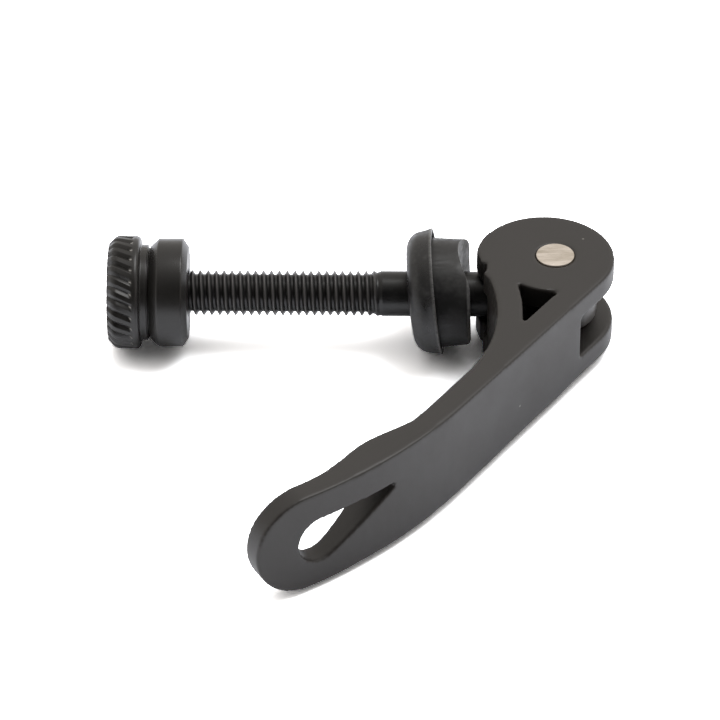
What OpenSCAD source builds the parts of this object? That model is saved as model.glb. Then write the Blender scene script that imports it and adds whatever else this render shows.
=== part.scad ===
// Quick-release clamp bolt for a seat tube: forked cam lever, pivot pin, eye bolt,
// saddle washer, flange washer, collar and thumb nut.
// Millimetres. X runs along the bolt from the thumb nut to the lever.
// Z is the pivot axis and points up. The origin is on the bolt axis,
// at the clamp face of the flange washer.

/* [Bolt] */
// Distance between the two faces that meet the clamp
grip = 28.15; // [14:0.05:30]
// Radius of the plain shank, and of the threaded length over its crests
shank_r = 2.87; // [2.6:0.01:3]
// Bevel at the free end
tip_bevel = 0.6; // [0.3:0.1:1]
// Depth of the free end inside the thumb nut
tip_inset = 0.9; // [0.2:0.1:2]
// Wall of the eye round the pivot pin
eye_wall = 2.94; // [2:0.02:3.2]
// Height of the eye along the pivot
eye_h = 5.8; // [5.4:0.1:6.4]
// Bevel on both rims of the eye
eye_bevel = 0.8; // [0.2:0.1:1.2]

/* [Pivot pin] */
// Radius of the pin
pin_r = 2.4; // [2.2:0.05:2.6]
// How far the pin stands proud of each cheek
pin_proud = 0.1; // [0:0.02:0.3]
// Bevel on both ends
pin_bevel = 0.12; // [0.05:0.01:0.4]
// Running clearance of the eye on the pin, on the radius
eye_play = 0.06; // [0.02:0.01:0.1]

/* [Lever] */
// Angle of the arm in plan, from +X
arm_angle = 236.1; // [230:0.1:240]
// Thickness of each cheek
cheek_t = 3.08; // [2.5:0.02:3.6]
// Play of the eye between the cheeks, on each side
cheek_play = 0.15; // [0.05:0.01:0.3]
// Half height of the arm where its round end starts
end_half_h = 6.9; // [6.4:0.1:7.6]
// Reach of the arm from the pivot, along the direction of its end
arm_reach = 58.1; // [52:0.1:62]
// Plan angle of the arm's end against the arm
end_turn = -25; // [-28:1:-20]
// Radius of the cam
cam_r = 8.7; // [8.4:0.05:9.2]
// Cam centre from the pivot, along the arm
cam_dx = 0.8; // [0.4:0.05:1]
// Cam centre from the pivot, across the arm
cam_dy = -0.95; // [-1.2:0.05:-0.5]
// Place where the straight outer face turns into the curved one
bend_x = 32.3; // [30:0.1:35]
// Radius of the curved outer face
bend_r = 67; // [60:1:75]
// Thickness of the straight part of the arm
arm_t = 3.45; // [3:0.05:4.2]
// Thickness of the arm toward its end
end_t = 2.9; // [2.6:0.05:4]
// Height of the swell on the inner face
swell_h = 1.6; // [0:0.1:2]
// Place of the swell along the arm
swell_x = 45.2; // [44:0.1:48]
// Quarter length of the swell
swell_l = 6.5; // [5:0.1:8]
// Radius of the hollow between cam and arm
hollow_r = 23.7; // [22:0.1:25]
// Centre of the hollow along the arm
hollow_x = 27; // [26:0.1:28]
// How far the slot for the eye runs past the cam
slot_past_cam = 0.95; // [0.4:0.05:1.2]
// Turn of the lever from this pose until it is fully closed
close_turn = 10; // [0:1:11]
// Play of the shank in the open side of the slot
swing_play = 0.25; // [0.1:0.05:0.4]
// Depth of the notch beside the cam
notch_depth = 1.24; // [0.6:0.02:1.4]

/* [Lever window and hole] */
// Limit of the three-sided window toward the pivot
window_start = 7.55; // [6.5:0.05:8]
// Rim left between window and hollow
window_inner_rim = 3.25; // [2.5:0.05:4]
// Rim left between window and outer face
window_outer_rim = 3.35; // [2.5:0.05:4]
// Centre of the hole's round end, from the pivot along the arm's end
hole_x = 49.3; // [46:0.1:52]
// How far that centre lies below mid height
hole_drop = 0.3; // [0:0.05:0.6]
// Radius of the drop-shaped hole at its round end
hole_r = 3.1; // [2:0.1:3.6]
// From the round end to the pointed end of the hole
hole_len = 10.85; // [9:0.05:14]
// Height of the pointed end above the round one
hole_rise = 2.4; // [1:0.1:2.6]
// Radius of the pointed end
hole_tip_r = 0.35; // [0.2:0.05:1]

/* [Washers] */
// Lean of the flange washer, top toward the thumb nut
lean = 6.4; // [0:0.1:7]
// Lift of the flange washer above the bolt axis
flange_lift = 0.25; // [0:0.05:0.4]
// Play of the leaning washers on the shank, on the radius
washer_play = 0.07; // [0.03:0.01:0.3]
// Largest radius of the flange washer
flange_r = 8.05; // [7.6:0.05:9]
// Flare of its lip
lip_flare = 0.3; // [0:0.05:0.4]
// Wall of its lip
lip_wall = 0.5; // [0.4:0.05:0.8]
// Thickness of the flange washer
flange_t = 3.4; // [2.8:0.1:4]
// Rounding of its edge at the clamp face
flange_round = 2.1; // [1:0.1:2.3]
// Depth of the recess for the saddle washer
recess_depth = 1.4; // [0.8:0.05:1.6]
// Play of the saddle washer in the recess, on the radius
recess_play = 0.57; // [0.5:0.01:0.8]
// Gap under the saddle washer
seat_gap = 0.04; // [0.02:0.01:0.2]
// Lean of the saddle washer
saddle_lean = 1.8; // [0:0.1:3]
// Lift of the saddle washer above the bolt axis
saddle_lift = 0.27; // [0.1:0.01:0.4]
// Length of the saddle washer
saddle_len = 4.9; // [4.4:0.05:6]
// How much smaller its radius is at the lever
saddle_taper = 0.28; // [0:0.02:0.4]
// Depth of the groove that takes the cam
groove_depth = 1.4; // [1:0.1:1.8]
// Play of the cam in the groove, on the radius
groove_play = 0.2; // [0.05:0.05:0.5]
// Rounding of the rim at the lever
saddle_round = 0.6; // [0.2:0.1:1]
// Gap between cam and saddle washer
cam_gap = 0.7; // [0.6:0.02:1.2]

/* [Collar] */
// Outside radius of the collar
collar_r = 6.86; // [6.4:0.02:7.4]
// Length of the collar
collar_len = 4.95; // [4:0.05:6]
// Height of the bevels on both rims
collar_bevel_h = 1.0; // [0.5:0.05:1.4]
// Length of the bevel at the thumb nut
collar_bevel_nut = 1.2; // [0.8:0.1:1.6]
// Length of the bevel at the clamp
collar_bevel_clamp = 0.7; // [0.3:0.1:1]
// Play of the collar on the bolt, on the radius
collar_play = 0.18; // [0.1:0.01:0.4]
// Depth of the seam between collar and neck
seam_d = 0.35; // [0.2:0.05:1.4]
// Half width of that seam
seam_w = 0.14; // [0.1:0.02:0.4]
// Gap between collar and thumb nut
nut_gap = 0.04; // [0.02:0.01:0.1]

/* [Thumb nut] */
// Outside radius of the knurled head
head_r = 7.15; // [6.6:0.05:8]
// Length of the head
head_len = 3.95; // [3.4:0.05:5]
// Height of the rounded rim at the outer face
head_rim_h = 1; // [0.7:0.05:1.6]
// Length of that rim
head_rim_len = 0.9; // [0.6:0.05:1.4]
// Rounding at the neck side of the head
head_round = 0.55; // [0.2:0.05:0.8]
// Length of the neck
neck_len = 1.17; // [0.8:0.01:2]
// Step from the head down to the neck
neck_step = 1.35; // [0.8:0.05:1.6]
// Play of the nut on the thread crests, on the radius
nut_play = 0.08; // [0.05:0.01:0.1]
// Number of slanted grooves
knurl_n = 28; // [20:2:32]
// Slant of the grooves
knurl_slant = 19; // [0:1:25]
// Rise of the grooves toward the neck
knurl_rise = 5; // [2:1:10]
// Width of one flank of a groove
knurl_flank = 1; // [0.6:0.05:1.05]
// Where the grooves end, from the outer face
knurl_len = 3; // [2:0.1:3.2]

/* [Hidden] */

$fn = 96;
// steps along a curved edge of an outline
steps = 48;
// half size of a block that is larger than the part it cuts
far = 40;

// lever
slot_h = eye_h + 2 * cheek_play;
cheek_half_h = slot_h / 2 + cheek_t;
slot_r = cam_r + slot_past_cam;
outer_face_y = cam_dy + cam_r;
inner_y = outer_face_y - arm_t;
hollow_y = inner_y - hollow_r;
window_y = outer_face_y - window_outer_rim;
end_x = arm_reach - end_half_h;
cam_reach = cam_r - cam_dx * cos(arm_angle) + cam_dy * sin(arm_angle);

// pin and eye
pin_len = 2 * cheek_half_h + 2 * pin_proud;
eye_r = pin_r + eye_play + eye_wall;

// washers: recess_x runs along the leaning flange washer, seat_x is where the
// lowest point of the saddle washer meets the floor of the recess
flange_x = flange_t / 2;
recess_x = flange_t / 2 - recess_depth;
recess_r = flange_r - lip_wall;
saddle_r = recess_r - recess_play;
saddle_foot_z = saddle_lift - saddle_len / 2 * sin(saddle_lean) - saddle_r * cos(saddle_lean);
seat_x = flange_x + recess_x / cos(lean) - (saddle_foot_z - flange_lift) * tan(lean);
saddle_x = seat_x + seat_gap + saddle_len / 2 * cos(saddle_lean) - saddle_r * sin(saddle_lean);
flange_bore = shank_r / cos(lean) + abs(flange_lift) + flange_t / 2 * tan(lean) + washer_play;
saddle_bore = shank_r / cos(saddle_lean) + abs(saddle_lift) + saddle_len / 2 * tan(saddle_lean) + washer_play;
groove_r = cam_r + groove_play;

// places along the bolt
pivot_x = saddle_x + saddle_len / 2 * cos(saddle_lean) + cam_gap + cam_reach;
collar_face_x = -grip;
seam_x = collar_face_x - collar_len;
head_right_x = seam_x - neck_len;
head_left_x = head_right_x - head_len;
bolt_tip_x = head_left_x + tip_inset;

// collar and thumb nut
collar_bore = shank_r + collar_play;
collar_face_r = collar_r - collar_bevel_h;
nut_bore = shank_r + nut_play;
neck_r = head_r - neck_step;
head_face_r = head_r - head_rim_h;

// finishes
black_alloy = [0.23, 0.23, 0.235];
black_steel = [0.11, 0.11, 0.115];
plain_steel = [0.78, 0.75, 0.70];
black_mould = [0.17, 0.17, 0.175];

// Turns a profile of [axial, radius] points about the bolt axis
module turned(points) {
    rotate([0, 90, 0])
        rotate_extrude()
            polygon([for (p = points) [p[1], p[0]]]);
}

// Points of a round with centre [cx, cy], from angle a to angle b
function arc_points(cx, cy, r, a, b, n) =
    [for (i = [0 : n]) let (t = a + (b - a) * i / n) [cx + r * cos(t), cy + r * sin(t)]];

// Drop of the outer face below its straight part, at x along the arm
function bend_drop(x) =
    x > bend_x ? bend_r - sqrt(bend_r * bend_r - pow(x - bend_x, 2)) : 0;

// Turns a thickness into a distance across the arm
function across(x) =
    x > bend_x ? bend_r / sqrt(bend_r * bend_r - pow(x - bend_x, 2)) : 1;

// Extra thickness of the swell
function swell(x) =
    abs(x - swell_x) < 2 * swell_l ? swell_h * pow(cos(45 * (x - swell_x) / swell_l), 4) : 0;

// Inner face of the arm, at x along it
function inner_face(x) =
    min(inner_y, outer_face_y - bend_drop(x) - (end_t + swell(x)) * across(x));

// Plan outline of cam and arm
module lever_plan() {
    first = swell_x - 2 * swell_l;
    last = arm_reach + 10;
    translate([cam_dx, cam_dy])
        circle(r = cam_r);
    difference() {
        polygon(concat(
            [[cam_dx, outer_face_y], [cam_dx, cam_dy], [hollow_x, hollow_y], [hollow_x, inner_y]],
            [for (i = [0 : steps]) let (x = first + (last - first) * i / steps) [x, inner_face(x)]],
            [[last, outer_face_y]]));
        // curved outer face
        translate([bend_x, outer_face_y - bend_r])
            difference() {
                translate([0, bend_r - 20])
                    square([45, 30]);
                circle(r = bend_r, $fn = 4 * $fn);
            }
        // hollow between cam and arm
        translate([hollow_x, hollow_y])
            circle(r = hollow_r, $fn = 3 * $fn);
    }
}

// Point at angle a round the cam, at depth d below its surface
function cam_point(a, d) = [cam_dx + (cam_r - d) * cos(a), cam_dy + (cam_r - d) * sin(a)];

// Flat and small notch where the cam ends beside the hollow
module cam_notch() {
    polygon([
        cam_point(-64.7, -0.22), cam_point(-44.8, 0.4 * notch_depth),
        cam_point(-43.6, notch_depth), cam_point(-38, 0.7 * notch_depth),
        cam_point(-31, 0.3 * notch_depth), cam_point(-36, -2.5), cam_point(-50, -2.5)]);
}

// Three-sided window through the arm
module window_plan() {
    difference() {
        polygon([
            [window_start / 2, window_y],
            [window_start, -window_start / 3],
            [2 * window_start + window_inner_rim, window_y]]);
        circle(r = window_start);
        translate([hollow_x, hollow_y])
            circle(r = hollow_r + window_inner_rim, $fn = 3 * $fn);
    }
}

// Front outline of the lever: x along its end, y up
module lever_front() {
    polygon([
        [-far / 2, -cheek_half_h], [0, -cheek_half_h], [end_x, -end_half_h],
        [end_x, end_half_h], [0, cheek_half_h], [-far / 2, cheek_half_h]]);
    translate([end_x, 0])
        circle(r = end_half_h);
}

// Drop-shaped outline near the arm's end: x along the end, y up
module hole_front() {
    axis = atan2(-hole_rise, hole_len);
    side = acos((hole_tip_r - hole_r) / norm([hole_len, hole_rise]));
    polygon(concat(
        arc_points(hole_x, -hole_drop, hole_r, axis - side, axis + side, steps),
        arc_points(hole_x - hole_len, hole_rise - hole_drop, hole_tip_r,
            axis + side, axis + 360 - side, steps / 6)));
}

// Extrudes a front outline right across the arm, square to the arm's end
module through_arm() {
    rotate([0, 0, end_turn])
        translate([0, far, 0])
            rotate([90, 0, 0])
                linear_extrude(height = 2 * far)
                    children();
}

// Forked cam lever, one piece
module lever() {
    color(black_alloy)
        translate([pivot_x, 0, 0])
            rotate([0, 0, arm_angle])
                difference() {
                    intersection() {
                        translate([0, 0, -far / 4])
                            linear_extrude(height = far / 2)
                                difference() {
                                    lever_plan();
                                    cam_notch();
                                    window_plan();
                                }
                        through_arm()
                            lever_front();
                    }
                    // slot for the eye of the bolt
                    translate([0, 0, -slot_h / 2])
                        cylinder(r = slot_r, h = slot_h);
                    translate([-far / 2, -far / 2, -slot_h / 2])
                        cube([far / 2, far, slot_h]);
                    // its open side, as far as the shank swings when the lever closes
                    rotate([0, 0, 180 - arm_angle + close_turn])
                        translate([0, -far / 2, -slot_h / 2])
                            cube([far / 2, far / 2 + shank_r + swing_play, slot_h]);
                    // holes for the pivot pin
                    translate([0, 0, -far / 4])
                        cylinder(r = pin_r, h = far / 2);
                    through_arm()
                        hole_front();
                }
}

// Pivot pin, pressed into the cheeks
module pivot_pin() {
    color(plain_steel)
        translate([pivot_x, 0, 0]) {
            translate([0, 0, -pin_len / 2 + pin_bevel])
                cylinder(r = pin_r, h = pin_len - 2 * pin_bevel);
            for (side = [0, 1])
                mirror([0, 0, side])
                    translate([0, 0, pin_len / 2 - pin_bevel])
                        cylinder(r1 = pin_r, r2 = pin_r - pin_bevel, h = pin_bevel);
        }
}

// Bolt with an eye for the pivot pin
module eye_bolt() {
    color(black_steel)
        difference() {
            union() {
                turned([
                    [bolt_tip_x, 0], [bolt_tip_x, shank_r - tip_bevel],
                    [bolt_tip_x + tip_bevel, shank_r], [pivot_x, shank_r], [pivot_x, 0]]);
                translate([pivot_x, 0, 0]) {
                    translate([0, 0, eye_bevel - eye_h / 2])
                        cylinder(r = eye_r, h = eye_h - 2 * eye_bevel);
                    for (side = [0, 1])
                        mirror([0, 0, side])
                            translate([0, 0, eye_h / 2 - eye_bevel])
                                cylinder(r1 = eye_r, r2 = eye_r - eye_bevel, h = eye_bevel);
                }
            }
            translate([pivot_x, 0, -eye_h])
                cylinder(r = pin_r + eye_play, h = 2 * eye_h);
        }
}

// Sets a washer with its middle at x along the bolt, lifted, and its top leaning to the thumb nut
module leaning(x, lift, angle) {
    translate([x, 0, lift])
        rotate([0, -angle, 0])
            children();
}

// Flange washer: meets the clamp and holds the saddle washer in its recess
module flange_washer() {
    edge_r = flange_r - lip_flare;
    color(black_mould)
        leaning(flange_x, flange_lift, lean)
            turned(concat(
                [[-flange_t / 2, flange_bore]],
                arc_points(flange_round - flange_t / 2, edge_r - flange_round, flange_round, 180, 90, steps / 6),
                [[flange_t / 4, edge_r + lip_flare / 4], [flange_t / 2, flange_r], [flange_t / 2, recess_r],
                 [recess_x, recess_r], [recess_x, flange_bore]]));
}

// Saddle washer: its groove follows the cam
module saddle_washer() {
    rim_r = saddle_r - saddle_taper;
    color(black_mould)
        leaning(saddle_x, saddle_lift, saddle_lean)
            difference() {
                turned(concat(
                    [[-saddle_len / 2, saddle_bore], [-saddle_len / 2, saddle_r]],
                    arc_points(saddle_len / 2 - saddle_round, rim_r - saddle_round, saddle_round,
                        90, 0, steps / 8),
                    [[saddle_len / 2, saddle_bore]]));
                translate([saddle_len / 2 - groove_depth + groove_r, 0, -far / 4])
                    cylinder(r = groove_r, h = far / 2, $fn = 2 * $fn);
            }
}

// Collar: slides on the bolt between thumb nut and clamp
module nut_collar() {
    color(black_alloy)
        turned([
            [seam_x + nut_gap / 2, collar_bore],
            [seam_x + nut_gap / 2, collar_face_r - seam_d],
            [seam_x + seam_w, collar_face_r - seam_d],
            [seam_x + seam_w, collar_face_r],
            [seam_x + collar_bevel_nut, collar_r],
            [collar_face_x - collar_bevel_clamp, collar_r],
            [collar_face_x, collar_face_r],
            [collar_face_x, collar_bore]]);
}

// One slanted groove of the head, on the side that faces +Z
module knurl_cut() {
    translate([head_left_x, 0, head_r])
        rotate([0, -knurl_rise, -knurl_slant])
            rotate([45, 0, 0])
                translate([-knurl_len, -knurl_flank / 2, -knurl_flank / 2])
                    cube([2 * knurl_len, knurl_flank, knurl_flank]);
}

// Thumb nut: knurled head with a plain neck
module thumb_nut() {
    color(black_alloy)
        difference() {
            turned(concat(
                [[head_left_x, nut_bore], [head_left_x, head_face_r],
                 [head_left_x + 0.3 * head_rim_len, head_face_r + 0.5 * head_rim_h],
                 [head_left_x + 0.65 * head_rim_len, head_face_r + 0.85 * head_rim_h],
                 [head_left_x + head_rim_len, head_r]],
                arc_points(head_right_x - head_round, head_r - head_round, head_round, 90, 0, steps / 8),
                [[head_right_x, neck_r], [seam_x - seam_w, neck_r], [seam_x - seam_w, neck_r - seam_d],
                 [seam_x - nut_gap / 2, neck_r - seam_d], [seam_x - nut_gap / 2, nut_bore]]));
            for (i = [0 : knurl_n - 1])
                rotate([i * 360 / knurl_n, 0, 0])
                    knurl_cut();
        }
}

lever();
pivot_pin();
eye_bolt();
saddle_washer();
flange_washer();
nut_collar();
thumb_nut();
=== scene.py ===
"""Looks of a quick-release clamp bolt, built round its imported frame.

The bolt lies on a pale floor: a knurled thumb nut and its collar at the left, a threaded shank, two moulded
washers and a forked cam lever on a steel pin at the right. Lengths in the classes are millimetres, and
places come from the frame.
"""

from __future__ import annotations

import logging
import math
from collections.abc import Callable, Sequence
from dataclasses import dataclass, field
from enum import Enum

import bmesh
import bpy
import numpy as np
from mathutils import Matrix, Vector

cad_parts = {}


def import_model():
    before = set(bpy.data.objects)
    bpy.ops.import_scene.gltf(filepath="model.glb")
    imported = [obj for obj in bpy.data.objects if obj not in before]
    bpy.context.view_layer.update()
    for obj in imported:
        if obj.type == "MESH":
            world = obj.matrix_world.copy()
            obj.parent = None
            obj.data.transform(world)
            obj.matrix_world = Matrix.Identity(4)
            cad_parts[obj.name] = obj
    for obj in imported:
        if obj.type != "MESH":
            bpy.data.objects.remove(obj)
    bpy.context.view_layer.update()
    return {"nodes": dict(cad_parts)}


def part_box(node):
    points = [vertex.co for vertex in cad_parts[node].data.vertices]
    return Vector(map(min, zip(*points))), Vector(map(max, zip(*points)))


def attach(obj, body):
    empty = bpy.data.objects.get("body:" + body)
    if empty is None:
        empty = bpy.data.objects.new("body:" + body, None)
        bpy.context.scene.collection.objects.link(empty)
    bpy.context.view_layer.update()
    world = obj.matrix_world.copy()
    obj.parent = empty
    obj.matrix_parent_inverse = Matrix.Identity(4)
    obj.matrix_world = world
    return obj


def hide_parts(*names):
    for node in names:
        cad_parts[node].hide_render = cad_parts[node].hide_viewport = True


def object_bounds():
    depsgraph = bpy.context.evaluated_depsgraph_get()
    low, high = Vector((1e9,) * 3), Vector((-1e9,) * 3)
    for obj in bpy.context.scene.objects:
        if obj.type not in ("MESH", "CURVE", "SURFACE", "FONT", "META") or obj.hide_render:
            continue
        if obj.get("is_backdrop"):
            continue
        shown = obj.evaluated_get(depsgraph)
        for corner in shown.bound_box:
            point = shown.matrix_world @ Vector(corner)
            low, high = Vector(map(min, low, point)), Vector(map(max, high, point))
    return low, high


LOG = logging.getLogger("clamp_bolt")

MM = 0.001
PHOTO_PIXELS = 720

# corners of the CAD's triangles that are nearer than this are one corner
SAME_PLACE_MM = 0.002
# CAD triangles that meet at less than this angle, in degrees, are one face
SAME_FACE = 0.6

# attributes that the finishes read, and that count as 0 on a piece without them
# places of the painted highlight at the ends of the nut's grooves
GROOVE_END_HIGHLIGHT = "groove end highlight"
# places that are rubbed and also carry a painted highlight
RUBBED_HIGHLIGHT = "rubbed"

Point = tuple[float, float]
Value = float | int | bool | str | tuple | bpy.types.Material | bpy.types.NodeSocket


class Axis(Enum):
    """The line that a turned piece is turned about."""

    BOLT = "along the bolt, X"
    PIVOT = "along the pivot pin, Z"


# Colours and node trees


def linear(hex_colour: str) -> tuple[float, float, float, float]:
    """Turns an sRGB hex colour into linear RGBA.

    Args:
        hex_colour: Six hex digits, such as "3a3938".

    Returns:
        Red, green, blue and an alpha of 1, all linear.
    """
    channels = []
    for start in (0, 2, 4):
        value = int(hex_colour[start:start + 2], 16) / 255
        channels.append(value / 12.92 if value <= 0.04045 else ((value + 0.055) / 1.055) ** 2.4)
    return (channels[0], channels[1], channels[2], 1.0)


def add_node(
    tree: bpy.types.NodeTree,
    kind: str,
    settings: dict[str, object] | None = None,
    inputs: dict[str | int, Value] | None = None,
) -> bpy.types.Node:
    """Adds a node to a tree with its settings, values and links.

    Args:
        tree: Material or geometry tree that gets the node.
        kind: Blender's name of the node type.
        settings: Properties of the node, by name.
        inputs: Values or source sockets, by the input's name or number.

    Returns:
        The new node.
    """
    node = tree.nodes.new(kind)
    for name, value in (settings or {}).items():
        setattr(node, name, value)
    for key, value in (inputs or {}).items():
        socket = node.inputs[key]
        if isinstance(value, bpy.types.NodeSocket):
            tree.links.new(value, socket)
        else:
            socket.default_value = value
    return node


@dataclass(frozen=True)
class Step:
    """One step of a formula: what its result is called, the operation and its operands."""

    result: str
    operation: str
    operands: tuple[str | float, ...]


def add_formula(
    tree: bpy.types.NodeTree, known: dict[str, bpy.types.NodeSocket], steps: Sequence[Step]
) -> dict[str, bpy.types.NodeSocket]:
    """Adds a formula to a tree, one maths node for each step.

    Args:
        tree: Tree that gets the nodes.
        known: Sockets that the steps may use, by name.
        steps: Steps in order, each of which may use the results before it.

    Returns:
        The known sockets and every result, by name.
    """
    results = dict(known)
    for step in steps:
        operands = {
            place: results[operand] if isinstance(operand, str) else operand
            for place, operand in enumerate(step.operands)
        }
        node = add_node(tree, "ShaderNodeMath", {"operation": step.operation}, operands)
        results[step.result] = node.outputs[0]
    return results


# Finishes


@dataclass(frozen=True)
class Finish:
    """What all finishes have: a name, a record slot and the colour and gloss of the bare surface."""

    name: str
    slot: str
    colour: str
    roughness: float
    metallic: float

    def start(self) -> tuple[bpy.types.Material, bpy.types.NodeTree, bpy.types.Node, bpy.types.NodeSocket]:
        """Starts the material.

        Returns:
            The material, its node tree, its main shader and the object coordinates.
        """
        material = bpy.data.materials.new(self.name)
        material.use_nodes = True
        tree = material.node_tree
        shader = tree.nodes["Principled BSDF"]
        shader.inputs["Base Color"].default_value = linear(self.colour)
        shader.inputs["Roughness"].default_value = self.roughness
        shader.inputs["Metallic"].default_value = self.metallic
        coordinates = add_node(tree, "ShaderNodeTexCoord").outputs["Object"]
        return material, tree, shader, coordinates


@dataclass(frozen=True)
class SatinAnodised(Finish):
    """Black anodising over a finely blasted alloy.

    It looks even and satin, with faint clouds and a few dust specks, and has a painted highlight at the
    ends of its grooves.
    """

    cloud_colour: str = "2f2c2a"
    dust_colour: str = "a5a29c"
    groove_highlight_colour: str = "d8d6d2"
    # blasted grain is about 0.05 mm across; drawn at 0.22 mm, the finest that shows
    grain_mm: float = 0.22
    grain_height_mm: float = 0.004
    cloud_mm: float = 7.0
    speck_mm: float = 5.5
    speck_share: float = 0.035
    dust_strength: float = 0.5
    # added to the roughness in the darkest and in the palest clouds
    gloss_range: tuple[float, float] = (-0.04, 0.05)

    def material(self) -> bpy.types.Material:
        """Builds the material.

        Returns:
            The material, with its patterns on object coordinates.
        """
        material, tree, shader, coordinates = self.start()
        clouds = add_node(
            tree, "ShaderNodeTexNoise", None,
            {"Vector": coordinates, "Scale": 1 / (self.cloud_mm * MM), "Detail": 4.0, "Roughness": 0.6})
        grain = add_node(
            tree, "ShaderNodeTexNoise", None,
            {"Vector": coordinates, "Scale": 1 / (self.grain_mm * MM), "Detail": 2.0})
        specks = add_node(
            tree, "ShaderNodeTexVoronoi", None,
            {"Vector": coordinates, "Scale": 1 / (self.speck_mm * MM), "Randomness": 1.0})
        dust = add_node(
            tree, "ShaderNodeMapRange", {"clamp": True},
            {"Value": specks.outputs["Distance"], "From Min": self.speck_share / 2,
             "From Max": self.speck_share, "To Min": self.dust_strength, "To Max": 0.0})
        body = add_node(
            tree, "ShaderNodeMix", {"data_type": "RGBA"},
            {0: clouds.outputs["Fac"], 6: linear(self.colour), 7: linear(self.cloud_colour)})
        dusty = add_node(
            tree, "ShaderNodeMix", {"data_type": "RGBA"},
            {0: dust.outputs["Result"], 6: body.outputs[2], 7: linear(self.dust_colour)})
        # painted highlight where the nut's grooves end
        bare = add_node(tree, "ShaderNodeAttribute", {"attribute_name": GROOVE_END_HIGHLIGHT})
        shown = add_node(
            tree, "ShaderNodeMix", {"data_type": "RGBA"},
            {0: bare.outputs["Fac"], 6: dusty.outputs[2], 7: linear(self.groove_highlight_colour)})
        gloss = add_node(
            tree, "ShaderNodeMapRange", None,
            {"Value": clouds.outputs["Fac"], "From Min": 0.3, "From Max": 0.7,
             "To Min": self.roughness + self.gloss_range[0],
             "To Max": self.roughness + self.gloss_range[1]})
        bump = add_node(
            tree, "ShaderNodeBump", None,
            {"Height": grain.outputs["Fac"], "Strength": 0.35, "Distance": self.grain_height_mm * MM})
        tree.links.new(shown.outputs[2], shader.inputs["Base Color"])
        tree.links.new(gloss.outputs["Result"], shader.inputs["Roughness"])
        tree.links.new(bump.outputs["Normal"], shader.inputs["Normal"])
        return material


@dataclass(frozen=True)
class BlackOxide(Finish):
    """Black oxide on rolled steel: nearly black and oiled, with paler patches, and thread crests that are
    rubbed and carry a painted highlight.
    """

    rubbed_colour: str = "303031"
    crest_colour: str = "5c5b5b"
    mottle_mm: float = 1.6
    # noise from which a patch starts to show and at which it shows most, and how much it then shows
    patch_band: tuple[float, float] = (0.5, 0.75)
    patch_share: float = 0.6
    grain_mm: float = 0.3
    grain_height_mm: float = 0.006

    def material(self) -> bpy.types.Material:
        """Builds the material.

        Returns:
            The material, with its patterns on object coordinates.
        """
        material, tree, shader, coordinates = self.start()
        mottle = add_node(
            tree, "ShaderNodeTexNoise", None,
            {"Vector": coordinates, "Scale": 1 / (self.mottle_mm * MM), "Detail": 5.0, "Roughness": 0.65})
        worn = add_node(
            tree, "ShaderNodeMapRange", {"clamp": True},
            {"Value": mottle.outputs["Fac"], "From Min": self.patch_band[0],
             "From Max": self.patch_band[1], "To Min": 0.0, "To Max": self.patch_share})
        body = add_node(
            tree, "ShaderNodeMix", {"data_type": "RGBA"},
            {0: worn.outputs["Result"], 6: linear(self.colour), 7: linear(self.rubbed_colour)})
        # crests that are rubbed and also carry a painted highlight
        crests = add_node(tree, "ShaderNodeAttribute", {"attribute_name": RUBBED_HIGHLIGHT})
        crested = add_node(
            tree, "ShaderNodeMix", {"data_type": "RGBA"},
            {0: crests.outputs["Fac"], 6: body.outputs[2], 7: linear(self.crest_colour)})
        grain = add_node(
            tree, "ShaderNodeTexNoise", None,
            {"Vector": coordinates, "Scale": 1 / (self.grain_mm * MM), "Detail": 3.0})
        bump = add_node(
            tree, "ShaderNodeBump", None,
            {"Height": grain.outputs["Fac"], "Strength": 0.3, "Distance": self.grain_height_mm * MM})
        tree.links.new(crested.outputs[2], shader.inputs["Base Color"])
        tree.links.new(bump.outputs["Normal"], shader.inputs["Normal"])
        return material


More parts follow.
